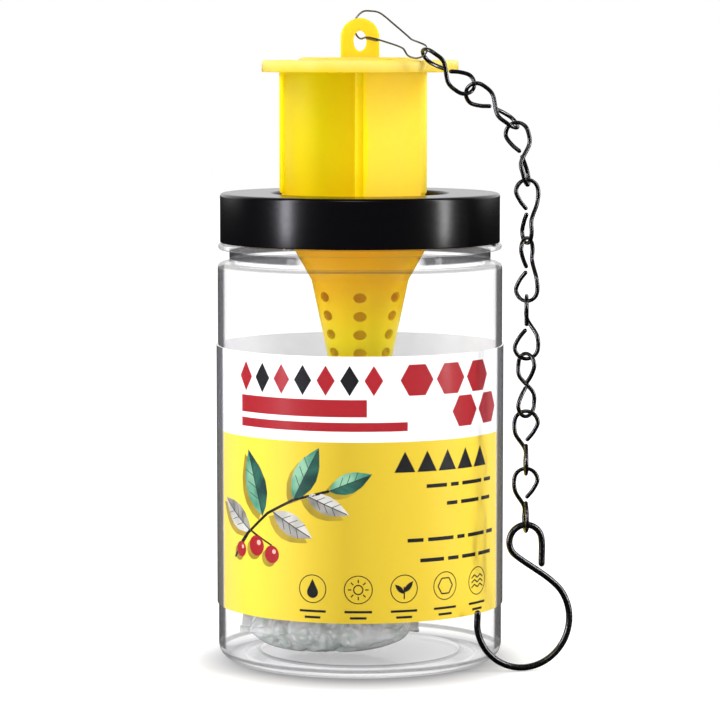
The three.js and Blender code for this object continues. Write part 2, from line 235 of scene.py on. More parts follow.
# Pin, chain and hook, on the same routes as the solids; a link lies at a slope, a lean and a turn
PIN_WIRE = 0.28
PIN_REACH = 19.4
PIN_LEAN = 26.4
PIN_RISE = 8.8
CLASP_LENGTH = 4.6
CLASP_WIDTH = 1.4
CLASP_WALL = 0.22
CLASP_WRAP = 20
LINK_WIRE = 0.62
LINK_PITCH = 16.86
LINK_LOOP = 3.4
LINK_TWIST = -85
LINK_STEPS = 10
LOOP_STEPS = 6
HOOK_WIRE = 0.95
HOOK_EYE = 4.97
HOOK_BEND = 14.2
HOOK_DROP = 23.1
HOOK_SHIFT = 0.6
HOOK_TIP = 6.7
HOOK_OPEN = 190
HOOK_TURN = 15
HOOK_STEPS = (10, 12)
CHAIN_LIE = (
    (39, 3.5, -66), (39, 2, -23), (78, 1.5, -19),
    (90, 0, 16), (90, 0, 58), (90, 0, 87),
    (90, 0, 130), (90, 0, 175), (90, 0, 180),
)
LINK_SEAT_SHARES = ((0.18, 0.36), (0.64, 0.82))
PIN_SEAT_SHARES = ((0.26, 0.35),)
SEAT_WIDTH_SHARE = 0.9
SEAT_EASE_SHARE = 0.03
LINK_TAIL_SHARES = (0.12, 0.62, 0.52)
LINK_BACK_SHARES = (0.92, 0.45)
PIN_SHARES = (
    (0.253, 0.212, 0.057), (0.353, 0.303, -0.01), (0.593, 0.549, -0.19),
    (0.655, 0.625, -0.27), (0.714, 0.7, -0.47), (0.789, 0.795, -0.55),
    (0.871, 0.909, -0.56), (0.959, 0.985, -0.47), (1, 1, -0.31),
    (0.98, 0.985, -0.165), (0.892, 0.909, -0.06), (0.773, 0.758, 0.05),
    (0.714, 0.682, 0.165), (0.52, 0.455, 0.54), (0.294, 0.19, 0.94),
    (0.17, 0.057, 1), (0.046, -0.038, 0.985), (-0.046, -0.091, 0.81),
    (-0.093, -0.106, 0.61), (-0.088, -0.102, 0.37), (-0.039, -0.064, 0.153),
    (0.013, 0, 0.074), (0.098, 0.083, 0.12), (0.149, 0.129, 0.1),
)
CLASP_SHARES = ((0.098, 0.085, 0.13), (0.278, 0.23, 0.04))
BULB_END_SHARES = (1, 1, -0.31)

# Camera, in the photograph's frame
CAMERA_PLACE = (0, -1004.8, 183.6)
CAMERA_PITCH = 5.375
FOCAL_PIXELS = 3368.6
FRAME_PIXELS = 720
SENSOR_WIDTH = 36

# Colours as in a picture, at heights or at places across; the tables paint light and shade on the yellow
# plastic, and the cloud is a random drift
# Painted shade: the funnel turns darker and more orange towards the top, under the neck and cap
FUNNEL_PAINTED_SHADE = ((69, "ffe01a"), (96, "ffdc12"), (112, "f6b80c"), (137, "eba00a"))
# Painted light and shade across the vanes: the right side paler where light falls on it, the left side a
# deeper yellow, the post a bar of its own
VANE_PAINTED_LIGHT_AND_SHADE = (
    (-26, "fcd80c"), (-12, "ffee06"), (-2.4, "fae004"), (-2, "ffe40c"),
    (2, "ffe40c"), (2.4, "fcda40"), (26, "fad648"),
)
# Painted shade and highlight: the roof darker at its lip's foot and paler along the top of its rim
ROOF_PAINTED_SHADE = ((175, "e6c026"), (178, "ecd270"), (180, "f6d22c"), (191, "facb2a"))
YELLOW_CLOUD = 0.05

# The label's colours, the yellow ones at shares of its width as seen from the front
LABEL_TINTS = ((0, "fada42"), (0.14, "f8dc40"), (0.45, "caad1f"), (0.8, "eacb34"), (1, "fadc42"))
LABEL_WHITE = "fdfdfd"
PRINT_COAT = {"Coat_Weight": 0.1, "Coat_Roughness": 0.12, "Specular_IOR_Level": 0.2}
INK_SHADE = 0.3

# Clear plastic; a facing is 0 where a surface is seen square on and 1 where it is seen edge on
CLEAR_COLOUR = "e6e6ec"
CLEAR_TINT = "d9d8e2"
CLEAR_HAZES = (0.006, 0.05)
HAZE_FACING = 0.4
EDGE_FACINGS = (0.68, 0.73)
RING_FACINGS = (0.1, 0.14)
RING_DARK_ALPHA = 0.1
PAINTED_RING_SHADE = "38383c"
# Painted shade: dark rings where the thick neck would show the dark cap bent into view
NECK_PAINTED_SHADE_RINGS = (
    (117.2, 0), (117.7, 0.45), (118.2, 0.45), (118.6, 0),
    (119.4, 0), (119.9, 0.88), (121.8, 0.88), (122.3, 0),
)
# Painted shade: a dark ring in the thick heel
BASE_PAINTED_SHADE_RINGS = ((1.4, 0), (1.9, 0.55), (2.6, 0.55), (3.1, 0))

# Clear plastics: each one's edge alpha and colour, alpha to light and gloss, then its rings of painted
# shade of (height, alpha) and the share of their alpha that shows square on
JAR_PLASTICS = (
    ("clear_plastic", 0.82, "666668", 0.03, 0.45),
    ("clear_plastic_inside", 0.06, "b9b9be", 0.02, 0.3),
    ("clear_plastic_base", 0.24, "94949a", 0.22, 0.4, BASE_PAINTED_SHADE_RINGS),
    ("clear_plastic_neck", 0.42, "7a7a7e", 0.03, 0.12, NECK_PAINTED_SHADE_RINGS, 0),
)
INSIDE, BASE, NECK = 1, 2, 3
# A clear sheet over the label whose grey edges are painted shade: dark bars at the label's sides, standing
# in for the jar's thick edge
LABEL_EDGE_SHADE_SHEET = ("clear_sheet_painted_edges", 0.82, "666668", 0.03, 0.12)

# The sachet's film: milky, and whiter where it turns away or is creased
FILM_FACINGS = (0.2, 0.95)
FILM_ALPHAS = (0.5, 0.78)
FILM_SHADE = 0.05
FILM_TINTS = ((0.3, "d6e2da"), (0.45, "f0f8f2"), (0.6, "ffffff"))
CREASE_NOISES = (0.5, 0.72)
CREASE_ALPHA = 0.3

# Stage and light; a glow is a share of full white, at a distance from the middle of the floor's painted
# shadow
FLOOR_REACH = 3000
FLOOR_GAP = 0.05
FLOOR_DIFFUSE = 0.75
# Painted shadow: the floor's glow fades round the foot, and its diffuse colour with it
FLOOR_PAINTED_SHADOW_GLOWS = ((30, 0), (33, 0.03), (39, 0.13), (47, 0.26), (53, 0.4), (60, 0.5), (240, 0.54))
FLOOR_UNSHADOWED_GLOW = 0.3
SHADOW_SHIFT = -12
UNDER_BASE_RADII = (36, 40.5)
# Painted light: a bright pool on the floor under the base
UNDER_BASE_PAINTED_LIGHT = 0.62
WORLD_LIGHT = 0.8
ROOM_GLOSS = 0.012
BACKDROP_GLOSS = 1.25
BACKDROP_BACKWARD = (0.3, 0.6)
BACKDROP_UPWARD = (0, 0.05)

# Lamps: name, place, size, radiance and colour
LAMP_AIM = (0, 0, 0.12)
LAMPS = (
    ("left_strip", (-0.75, -0.41, 0.2), (0.12, 0.9), 22, (0.93, 0.92, 1)),
    ("right_strip", (0.8, -0.27, 0.2), (0.1, 0.9), 22, (1, 1, 1)),
    ("front_box", (-0.15, -1.15, 1.0), (0.5, 0.4), 4, (1, 1, 1)),
)

# Heights worked out from the sizes above
BOSS_TOP = ROOF_TOP + BOSS_HEIGHT
LUG_TOP = BOSS_TOP + LUG_HEIGHT
LUG_HOLE_CENTRE = LUG_TOP - LUG_WIDTH / 2 - LUG_HOLE_HEIGHT / 6
WIRES_APART = 2 * LINK_WIRE + SEAT_GAP
LINK_HALF = (LINK_PITCH + WIRES_APART) / 2


def smooth_faces(data, angle):
    """Shades a mesh smooth, apart from its edges that turn more than the angle."""
    data.shade_smooth()
    data.set_sharp_from_angle(angle=math.radians(angle))


def add(name, mesh, body, nodes=(), shading=SMOOTH_ANGLE):
    """Puts a bmesh in millimetres into the scene, on its body and in place of its CAD nodes."""
    bmesh.ops.recalc_face_normals(mesh, faces=mesh.faces)
    mesh.transform(Matrix.Scale(MM, 4))
    data = bpy.data.meshes.new(name)
    mesh.to_mesh(data)
    mesh.free()
    smooth_faces(data, shading)
    piece = bpy.data.objects.new(name, data)
    bpy.context.collection.objects.link(piece)
    if body:
        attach(piece, body)
    if nodes:
        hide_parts(*nodes)
    return piece


def rounded(corners, closed=False):
    """The outline through corners of (across, up, rounding), where a rounding left out is small."""
    points = []
    count = len(corners)
    for index, corner in enumerate(corners):
        rounding = corner[2] if len(corner) > 2 else SMALL_ROUND
        at_end = not closed and index in (0, count - 1)
        here = Vector(corner[:2])
        if rounding == 0 or at_end:
            points.append(tuple(here))
            continue
        before = Vector(corners[index - 1][:2]) - here
        after = Vector(corners[(index + 1) % count][:2]) - here
        half = before.angle(after) / 2
        reach = min(rounding / math.tan(half), before.length / FILLET_ROOM, after.length / FILLET_ROOM)
        radius = reach * math.tan(half)
        centre = here + (before.normalized() + after.normalized()).normalized() * radius / math.sin(half)
        first = here + before.normalized() * reach - centre
        last = here + after.normalized() * reach - centre
        turn = first.angle_signed(last)
        for step in range(FILLET_STEPS + 1):
            arm = first.copy()
            arm.rotate(Matrix.Rotation(-turn * step / FILLET_STEPS, 2))
            points.append(tuple(centre + arm))
    return points


def lathe(profile, closed=False):
    """A bmesh turned about Z from a profile of (radius, height)."""
    mesh = bmesh.new()
    turns = [2 * math.pi * step / TURN_STEPS for step in range(TURN_STEPS)]
    rings = []
    for radius, height in profile:
        places = turns if radius > 0 else turns[:1]
        rings.append([mesh.verts.new((radius * math.cos(a), radius * math.sin(a), height)) for a in places])
    pairs = list(zip(rings, rings[1:]))
    if closed:
        pairs.append((rings[-1], rings[0]))
    for low, high in pairs:
        for step in range(TURN_STEPS):
            following = (step + 1) % TURN_STEPS
            below = (low[step % len(low)], low[following % len(low)])
            above = (high[following % len(high)], high[step % len(high)])
            corners = list(dict.fromkeys(below + above))
            if len(corners) > 2:
                mesh.faces.new(corners)
    return mesh


def smooth_line(points, steps=CURVE_STEPS):
    """Points along a centripetal Catmull-Rom curve."""
    points = [Vector(p) for p in points]
    padded = [2 * points[0] - points[1], *points, 2 * points[-1] - points[-2]]
    line = []
    for index in range(1, len(padded) - 2):
        a, b, c, d = padded[index - 1 : index + 3]
        ab, bc, cd = ((q - p).length ** 0.5 for p, q in ((a, b), (b, c), (c, d)))
        start = ((b - a) / ab - (c - a) / (ab + bc) + (c - b) / bc) * bc
        end = ((c - b) / bc - (d - b) / (bc + cd) + (d - c) / cd) * bc
        for step in range(steps):
            t = step / steps
            curve = b + start * t + (3 * (c - b) - 2 * start - end) * t**2
            line.append(curve + (2 * (b - c) + start + end) * t**3)
    line.append(points[-1])
    return line


def seated(count, seats):
    """Widths along a wire that is a little flattened where it bears on the next one."""
    widths = []
    for step in range(count):
        at = step / (count - 1)
        depth = max(min(at - start, end - at) / SEAT_EASE_SHARE for start, end in seats)
        widths.append(1 - (1 - SEAT_WIDTH_SHARE) * min(max(depth, 0), 1))
    return widths


def tube(line, radius, sides=WIRE_SIDES, seats=()):
    """A bmesh of a round wire along a line, with domed ends."""
    tangents = []
    for index in range(len(line)):
        ahead = line[min(index + 1, len(line) - 1)]
        behind = line[max(index - 1, 0)]
        tangents.append((ahead - behind).normalized())
    normal = tangents[0].orthogonal().normalized()
    rows = []
    widths = seated(len(line), seats) if seats else [1] * len(line)
    for place, tangent, width in zip(line, tangents, widths):
        normal = (normal - tangent * normal.dot(tangent)).normalized()
        rows.append((place, tangent, normal, width))
    dome = [(math.sin(math.radians(a)), math.cos(math.radians(a))) for a in DOME_ANGLES]
    first, last = rows[0], rows[-1]
    head = [(first[0] - first[1] * radius * out, first[1], first[2], wide) for out, wide in reversed(dome)]
    tail = [(last[0] + last[1] * radius * out, last[1], last[2], wide) for out, wide in dome]
    mesh = bmesh.new()
    rings = []
    for place, tangent, normal, wide in [*head, *rows, *tail]:
        side = tangent.cross(normal)
        turns = [2 * math.pi * k / sides for k in range(sides)]
        arms = [normal * math.cos(a) + side * math.sin(a) for a in turns]
        rings.append([mesh.verts.new(place + arm * radius * wide) for arm in arms])
    for low, high in zip(rings, rings[1:]):
        for k in range(sides):
            n = (k + 1) % sides
            mesh.faces.new((low[k], low[n], high[n], high[k]))
    mesh.faces.new(rings[0][::-1])
    mesh.faces.new(rings[-1])
    return mesh


def plate(outline, thickness, matrix, holes=(), bevel=0):
    """A bmesh of an upright plate: an outline of (across, up), centred on its own plane."""
    mesh = bmesh.new()
    loops = []
    for ring in (outline, *holes):
        verts = [mesh.verts.new((across, -thickness / 2, up)) for across, up in ring]
        loops.extend(mesh.edges.new((verts[i - 1], verts[i])) for i in range(len(verts)))
    bmesh.ops.triangle_fill(mesh, use_beauty=True, use_dissolve=True, edges=loops)
    flat = mesh.faces[:]
    raised = bmesh.ops.extrude_face_region(mesh, geom=flat)
    moved = [item for item in raised["geom"] if isinstance(item, bmesh.types.BMVert)]
    bmesh.ops.translate(mesh, verts=moved, vec=(0, thickness, 0))
    bmesh.ops.recalc_face_normals(mesh, faces=mesh.faces)
    if bevel:
        sharp = [edge for edge in mesh.edges if edge.calc_face_angle(0) > math.radians(BEVEL_ANGLE)]
        bmesh.ops.bevel(mesh, geom=sharp, offset=bevel, segments=BEVEL_STEPS, profile=0.5, affect="EDGES")
    mesh.transform(matrix)
    return mesh


def boolean(piece, other, operation):
    """Cuts or joins a piece with another, which is used up."""
    modifier = piece.modifiers.new(operation, "BOOLEAN")
    modifier.operation = operation
    modifier.object = other
    modifier.solver = "EXACT"
    bpy.context.view_layer.update()
    result = bpy.data.meshes.new_from_object(piece.evaluated_get(bpy.context.evaluated_depsgraph_get()))
    piece.modifiers.clear()
    piece.data = result
    bpy.data.objects.remove(other)


def linear(hex_colour):
    """A colour written as in a picture, as linear light."""
    values = [int(hex_colour[i : i + 2], 16) / 255 for i in (0, 2, 4)]
    return tuple(v / 12.92 if v <= 0.04045 else ((v + 0.055) / 1.055) ** 2.4 for v in values)


def finish_of(name, colour, roughness, **sockets):
    """A material whose Principled shader has its even sockets set directly."""
    material = bpy.data.materials.new(name)
    material.use_nodes = True
    inputs = material.node_tree.nodes["Principled BSDF"].inputs
    inputs["Base Color"].default_value = (*linear(colour), 1)
    inputs["Roughness"].default_value = roughness
    for label, value in sockets.items():
        inputs[label.replace("_", " ")].default_value = value
    return material


def node(material, kind, inputs=(), **settings):
    """Adds a node; each of the inputs is a socket to link or a value to set, by index or name."""
    made = material.node_tree.nodes.new(kind)
    for key, value in settings.items():
        setattr(made, key, value)
    for key, value in dict(inputs).items():
        if isinstance(value, bpy.types.NodeSocket):
            material.node_tree.links.new(value, made.inputs[key])
        else:
            made.inputs[key].default_value = value
    return made


def feed(material, socket, source):
    """Links a value or colour to a socket of a material's Principled shader."""
    shader = material.node_tree.nodes["Principled BSDF"]
    material.node_tree.links.new(source, shader.inputs[socket])


def place_of(material):
    """The place on the object, in metres."""
    return node(material, "ShaderNodeTexCoord").outputs["Object"]


def place_along(material, axis):
    """The place on the object along one axis, in metres."""
    return node(material, "ShaderNodeSeparateXYZ", {"Vector": place_of(material)}).outputs[axis]


def facing_of(material):
    """How far a surface turns away: 0 square on, 1 edge on."""
    return node(material, "ShaderNodeLayerWeight", {"Blend": 0.5}).outputs["Facing"]


def ray(material, kind):
    return node(material, "ShaderNodeLightPath").outputs[f"Is {kind} Ray"]


def noise(material, scale, detail=3, stretch=(1, 1, 1)):
    """Noise whose grains are 1 / scale metres wide."""
    stretched = node(material, "ShaderNodeMapping", {"Vector": place_of(material), "Scale": stretch})
    inputs = {"Vector": stretched.outputs[0], "Scale": scale, "Detail": detail}
    return node(material, "ShaderNodeTexNoise", inputs).outputs["Fac"]


def spread(material, value, low, high, to_low, to_high):
    """Maps a value from one range to another."""
    inputs = {"Value": value, "From Min": low, "From Max": high, "To Min": to_low, "To Max": to_high}
    return node(material, "ShaderNodeMapRange", inputs).outputs["Result"]


def merged(material, operation, first, second):
    """One value from two, by a Math node's operation."""
    return node(material, "ShaderNodeMath", {0: first, 1: second}, operation=operation).outputs[0]


def switched(material, switch, off, on):
    """One value where the switch is 0, and another where it is 1."""
    return node(material, "ShaderNodeMix", {0: switch, 2: off, 3: on}, data_type="FLOAT").outputs[0]


def tinted(material, share, first, colour):
    """A changing colour that gives way to an even one as the share rises."""
    inputs = {0: share, 6: first, 7: (*linear(colour), 1)}
    return node(material, "ShaderNodeMix", inputs, data_type="RGBA").outputs[2]


def bump(material, scale, depth):
    """Fine unevenness of a depth in millimetres."""
    raised(material, noise(material, scale), depth)


def raised(material, height, depth):
    """Unevenness that follows a height, of a depth in millimetres."""
    made = node(material, "ShaderNodeBump", {"Height": height, "Distance": depth * MM})
    feed(material, "Normal", made.outputs[0])


def ramp(material, value, stops):
    """A colour ramp of (position, colour) stops, in which a number is a grey level."""
    made = node(material, "ShaderNodeValToRGB", {"Fac": value})
    elements = made.color_ramp.elements
    while len(elements) < len(stops):
        elements.new(0.5)
    for element, (position, colour) in zip(elements, stops):
        element.position = position
        element.color = (*linear(colour), 1) if isinstance(colour, str) else (colour, colour, colour, 1)
    return made.outputs["Color"]


def share_along(material, value, table):
    """A value in metres as a share of the way from a table's first place to its last."""
    return spread(material, value, table[0][0] * MM, table[-1][0] * MM, 0, 1)


def stops_of(table):
    """A ramp's stops from a table of places in millimetres."""
    low, high = table[0][0], table[-1][0]
    return [((place - low) / (high - low), value) for place, value in table]


def lit_through(material, total, shade):
    """Sets the alpha: total for what is seen, and shade for the light that passes through."""
    light = merged(material, "MAXIMUM", ray(material, "Shadow"), ray(material, "Diffuse"))
    feed(material, "Alpha", switched(material, light, total, shade))


def clear_plastic(name, edge_alpha, edge_colour, shade, gloss, rings=(), front=1):
    """Clear moulded plastic: almost nothing seen square on, grey where the wall is seen edge on.

    Rings of painted shade stand where thick plastic would bend dark parts into view.
    """
    material = finish_of(name, CLEAR_COLOUR, 0.06, Specular_IOR_Level=gloss)
    facing = facing_of(material)
    haze = spread(material, facing, HAZE_FACING, EDGE_FACINGS[0], *CLEAR_HAZES)
    total = merged(material, "ADD", haze, spread(material, facing, *EDGE_FACINGS, 0, edge_alpha))
    tint = ramp(material, facing, list(zip(EDGE_FACINGS, (CLEAR_TINT, edge_colour))))
    # Painted shade: dark rings set by height
    if rings:
        strength = ramp(material, share_along(material, place_along(material, "Z"), rings), stops_of(rings))
        ring = merged(material, "MULTIPLY", strength, spread(material, facing, *RING_FACINGS, front, 1))
        total = merged(material, "MAXIMUM", total, ring)
        tint = tinted(material, spread(material, ring, 0, RING_DARK_ALPHA, 0, 1), tint, PAINTED_RING_SHADE)
    lit_through(material, total, shade)
    feed(material, "Base Color", tint)
    bump(material, scale=60, depth=0.03)
    return material


def uneven_finish(name, colour, roughnesses, scale, **sockets):
    """A material whose roughness wavers between two values."""
    material = finish_of(name, colour, roughnesses[0], **sockets)
    feed(material, "Roughness", spread(material, noise(material, scale), 0, 1, *roughnesses))
    return material


def clouded_finish(name, colours, roughness, scale, shares=(0.3, 0.7), detail=3, **sockets):
    """A material whose colour drifts from one to another."""
    material = finish_of(name, colours[0], roughness, **sockets)
    cloud = noise(material, scale, detail)
    feed(material, "Base Color", ramp(material, cloud, list(zip(shares, colours))))
    return material


def yellow_plastic(name, painted_shading, axis):
    """Translucent yellow plastic, whose colour changes along an axis as painted light and shade."""
    material = finish_of(
        name, "ffd90c", 0.3, Subsurface_Weight=0.6, Subsurface_Scale=0.004,
        Subsurface_Radius=(1.0, 0.8, 0.1), Specular_IOR_Level=0.12,
    )
    along = share_along(material, place_along(material, axis), painted_shading)
    cloud = noise(material, 45, stretch=(1, 1, 0.4))
    cloud = spread(material, cloud, 0.3, 0.7, -YELLOW_CLOUD, YELLOW_CLOUD)
    feed(material, "Base Color", ramp(material, merged(material, "ADD", along, cloud), stops_of(painted_shading)))
    bump(material, scale=700, depth=0.012)
    return material


def label_print():
    """Printed film: a white band over a yellow field that is darker left of its middle."""
    material = finish_of("label_print", "f4cf2e", 0.4, **PRINT_COAT)
    reach = LABEL_RADIUS * MM
    across = spread(material, place_along(material, "X"), -reach, reach, 0, 1)
    above = merged(material, "GREATER_THAN", place_along(material, "Z"), LABEL_BAND_BOTTOM * MM)
    feed(material, "Base Color", tinted(material, above, ramp(material, across, LABEL_TINTS), LABEL_WHITE))
    bump(material, scale=300, depth=0.01)
    return material


def print_ink(name, colour, other=None):
    """Ink printed on the film, of one colour or shaded to another."""
    if other:
        material = clouded_finish(name, (colour, other), 0.4, 160, (0.38, 0.62), detail=1, **PRINT_COAT)
    else:
        material = finish_of(name, colour, 0.4, **PRINT_COAT)
    lit_through(material, 1, INK_SHADE)
    return material


def sachet_film():
    """Thin crumpled film."""
    material = finish_of("sachet_film", "f2f4f2", 0.14, Specular_IOR_Level=0.8)
    crease = noise(material, 90, detail=8)
    sheet = spread(material, facing_of(material), *FILM_FACINGS, *FILM_ALPHAS)
    fold = spread(material, crease, *CREASE_NOISES, 0, CREASE_ALPHA)
    lit_through(material, merged(material, "ADD", sheet, fold), FILM_SHADE)
    feed(material, "Base Color", ramp(material, crease, FILM_TINTS))
    raised(material, crease, depth=0.5)
    return material


def paint(piece, *materials):
    """Gives a piece its materials; a bare mesh keeps which face wears which, which clearing would reset."""
    if piece.data.materials:
        piece.data.materials.clear()
    for material in materials:
        piece.data.materials.append(material)


def build_jar(plastics):
    ring_inner = JAR_RADIUS - HEEL_RADIUS - RING_WIDTH
    bore = NECK_RADIUS - NECK_WALL
    inside = JAR_RADIUS - JAR_WALL
    inner_top = SHOULDER_TOP - JAR_WALL
    panel = BASE_RISE + BASE_THICKNESS
    profile = rounded([
        (0, BASE_RISE, 0),
        (BASE_PANEL_RADIUS, BASE_RISE, EDGE_ROUND),
        (ring_inner, 0, EDGE_ROUND),
        (JAR_RADIUS, 0, HEEL_RADIUS),
        (JAR_RADIUS, SHOULDER_TOP, SHOULDER_ROUND),
        (RECESS_RADIUS, SHOULDER_TOP),
        (RECESS_RADIUS, BEAD_BOTTOM),
        (BEAD_RADIUS, BEAD_BOTTOM, EDGE_ROUND),
        (BEAD_RADIUS, BEAD_TOP, EDGE_ROUND),
        (NECK_RADIUS, BEAD_TOP),
        (NECK_RADIUS, MOUTH_HEIGHT),
        (bore, MOUTH_HEIGHT),
        (bore, inner_top, EDGE_ROUND),
        (inside, inner_top, SHOULDER_ROUND - JAR_WALL),
        (inside, BASE_THICKNESS, HEEL_RADIUS - JAR_WALL),
        (ring_inner, BASE_THICKNESS, EDGE_ROUND),
        (BASE_PANEL_RADIUS, panel, EDGE_ROUND),
        (0, panel, 0),
    ])
    mesh = lathe(profile)
    mesh.normal_update()
    for face in mesh.faces:
        middle = face.calc_center_median()
        reach = math.hypot(middle.x, middle.y)
        outward = Vector((middle.x, middle.y, middle.z - HEEL_RADIUS))
        if middle.z < HEEL_RADIUS and face.normal.dot(outward) > 0:
            face.material_index = BASE
        in_jar = reach < inside + EDGE_ROUND and middle.z < inner_top + SMALL_ROUND
        if reach < bore + EDGE_ROUND or in_jar:
            face.material_index = max(face.material_index, INSIDE)
        elif middle.z > SHOULDER_TOP - SHOULDER_ROUND:
            face.material_index = NECK
    paint(add("jar_body", mesh, "container", ["jar"]), *plastics)
    thread = helix(NECK_RADIUS, MOUTH_HEIGHT - THREAD_DROP)
    paint(add("jar_thread", thread, "container"), plastics[INSIDE])


def helix(radius, top):
    """A thread's round rib that winds down from a height."""
    count = round(THREAD_TURNS * TURN_STEPS)
    line = []
    for step in range(count + 1):
        turn = THREAD_TURNS * step / count
        angle = 2 * math.pi * turn
        height = top - THREAD_PITCH * (THREAD_TURNS - turn)
        line.append(Vector((radius * math.cos(angle), radius * math.sin(angle), height)))
    return tube(line, THREAD_HEIGHT / 2, DISC_SIDES // 4)


def build_cap(black):
    skirt_bore = CAP_RADIUS - CAP_WALL
    underside = CAP_TOP - CAP_PLATE
    profile = rounded([
        (skirt_bore, CAP_BOTTOM),
        (CAP_RADIUS, CAP_BOTTOM),
        (CAP_RADIUS, CAP_TOP, CAP_ROUND),
        (CAP_HOLE_RADIUS, CAP_TOP, CAP_ROUND),
        (CAP_HOLE_RADIUS, underside),
        (skirt_bore, underside),
    ], closed=True)
    paint(add("cap_shell", lathe(profile, closed=True), "cap", ["screw_cap"]), black)
    top = MOUTH_HEIGHT - THREAD_DROP - THREAD_PITCH / 2
    paint(add("cap_thread", helix(skirt_bore, top), "cap"), black)


def funnel_bore(height):
    """Radius of the funnel's inner wall at a height in its upper cone."""
    share = (height - KNEE_HEIGHT) / (FLANGE_TOP - KNEE_HEIGHT)
    narrow = KNEE_RADIUS - FUNNEL_WALL
    return narrow + share * (FUNNEL_MOUTH_RADIUS - narrow)


def build_funnel(yellow):
    plug_inside = PLUG_RADIUS - PLUG_WALL
    plug_bottom = FLANGE_BOTTOM - PLUG_DEPTH
    profile = rounded([
        (FLANGE_RADIUS, FLANGE_BOTTOM),
        (FLANGE_RADIUS, FLANGE_TOP),
        (FUNNEL_MOUTH_RADIUS, FLANGE_TOP, EDGE_ROUND),
        (KNEE_RADIUS - FUNNEL_WALL, KNEE_HEIGHT, EDGE_ROUND),
        (OUTLET_RADIUS - FUNNEL_WALL, OUTLET_HEIGHT),
        (OUTLET_RADIUS, OUTLET_HEIGHT),
        (KNEE_RADIUS, KNEE_HEIGHT, EDGE_ROUND),
        (FUNNEL_MOUTH_RADIUS + FUNNEL_WALL, FLANGE_BOTTOM),
        (plug_inside, FLANGE_BOTTOM),
        (plug_inside, plug_bottom),
        (PLUG_RADIUS, plug_bottom),
        (PLUG_RADIUS, FLANGE_BOTTOM),
    ], closed=True)
    funnel = add("funnel_cone", lathe(profile, closed=True), "entry", ["funnel"])
    boolean(funnel, add("hole_cutters", hole_cutters(), None), "DIFFERENCE")
    smooth_faces(funnel.data, JOINED_SMOOTH_ANGLE)
    paint(funnel, yellow)
    bottom = SOCKET_TOP - SOCKET_HEIGHT
    bite = FUNNEL_WALL / 3
    outline = [
        (funnel_bore(bottom) - SOCKET_DEPTH, bottom),
        (funnel_bore(bottom) + bite, bottom),
        (funnel_bore(SOCKET_TOP) + bite, SOCKET_TOP),
        (funnel_bore(SOCKET_TOP) - SOCKET_DEPTH, SOCKET_TOP),
    ]
    offset = (VANE_THICKNESS + SOCKET_WALL) / 2 + SOCKET_GAP
    for index, angle in enumerate(VANE_ANGLES):
        for side in (-1, 1):
            place = Matrix.Rotation(math.radians(angle), 4, "Z") @ Matrix.Translation((0, side * offset, 0))
            rib = plate(outline, SOCKET_WALL, place, bevel=SMALL_ROUND / 2)
            name = f"vane_socket_{index + 1}_{'left' if side > 0 else 'right'}"
            paint(add(name, rib, "entry"), yellow)


def hole_cutters():
    """Oval bars through the lower cone's wall, in columns."""
    mesh = bmesh.new()
    slope = (KNEE_RADIUS - OUTLET_RADIUS) / (KNEE_HEIGHT - OUTLET_HEIGHT)
    for row in range(HOLE_ROWS):
        drop = HOLE_DROP + row * HOLE_PITCH
        reach = KNEE_RADIUS - FUNNEL_WALL / 2 - slope * drop
        for column in range(HOLE_COLUMNS):
            angle = math.radians(HOLE_TURN + 360 * column / HOLE_COLUMNS)
            matrix = (
                Matrix.Rotation(angle, 4, "Z")
                @ Matrix.Translation((reach, 0, KNEE_HEIGHT - drop))
                @ Matrix.Scale(HOLE_WIDTH / HOLE_HEIGHT, 4, (0, 1, 0))
                @ Matrix.Rotation(math.pi / 2, 4, "Y")
            )
            radius = HOLE_HEIGHT / 2
            bmesh.ops.create_cone(
                mesh, cap_ends=True, segments=DISC_SIDES // 2, radius1=radius, radius2=radius,
                depth=4 * FUNNEL_WALL, matrix=matrix,
            )
    return mesh


def build_vanes(yellow):
    narrow = funnel_bore(VANE_FOOT) - VANE_TIP_GAP
    outline = [
        (0, VANE_FOOT),
        (narrow, VANE_FOOT),
        (min(VANE_RADIUS, funnel_bore(FLANGE_TOP) - VANE_TIP_GAP), FLANGE_TOP),
        (VANE_RADIUS - VANE_BEAD, CAP_TOP),
        (VANE_RADIUS - VANE_BEAD, VANE_TOP),
        (0, VANE_TOP),
    ]
    hub_top = BOSS_TOP - ROOF_PLATE - SEAT_GAP
    hub_bottom = hub_top - HUB_THICKNESS
    core = lathe(rounded([
        (0, VANE_FOOT, 0),
        (POST_RADIUS, VANE_FOOT, EDGE_ROUND),
        (POST_RADIUS, hub_bottom, EDGE_ROUND),
        (HUB_RADIUS, hub_bottom),
        (HUB_RADIUS, hub_top),
        (0, hub_top, 0),
    ]))
    vanes = add("vane_core", core, "head", ["vanes"])
    for index, angle in enumerate(VANE_ANGLES):
        turn = Matrix.Rotation(math.radians(angle), 4, "Z")
        boolean(vanes, add(f"wing_{index}", plate(outline, VANE_THICKNESS, turn), None), "UNION")
        heights = (CAP_TOP + VANE_BEAD, (CAP_TOP + VANE_TOP) / 2, VANE_TOP - VANE_BEAD)
        bead = tube([turn @ Vector((VANE_RADIUS - VANE_BEAD, 0, up)) for up in heights], VANE_BEAD)
        boolean(vanes, add(f"edge_{index}", bead, None), "UNION")
    smooth_faces(vanes.data, JOINED_SMOOTH_ANGLE)
    paint(vanes, yellow)


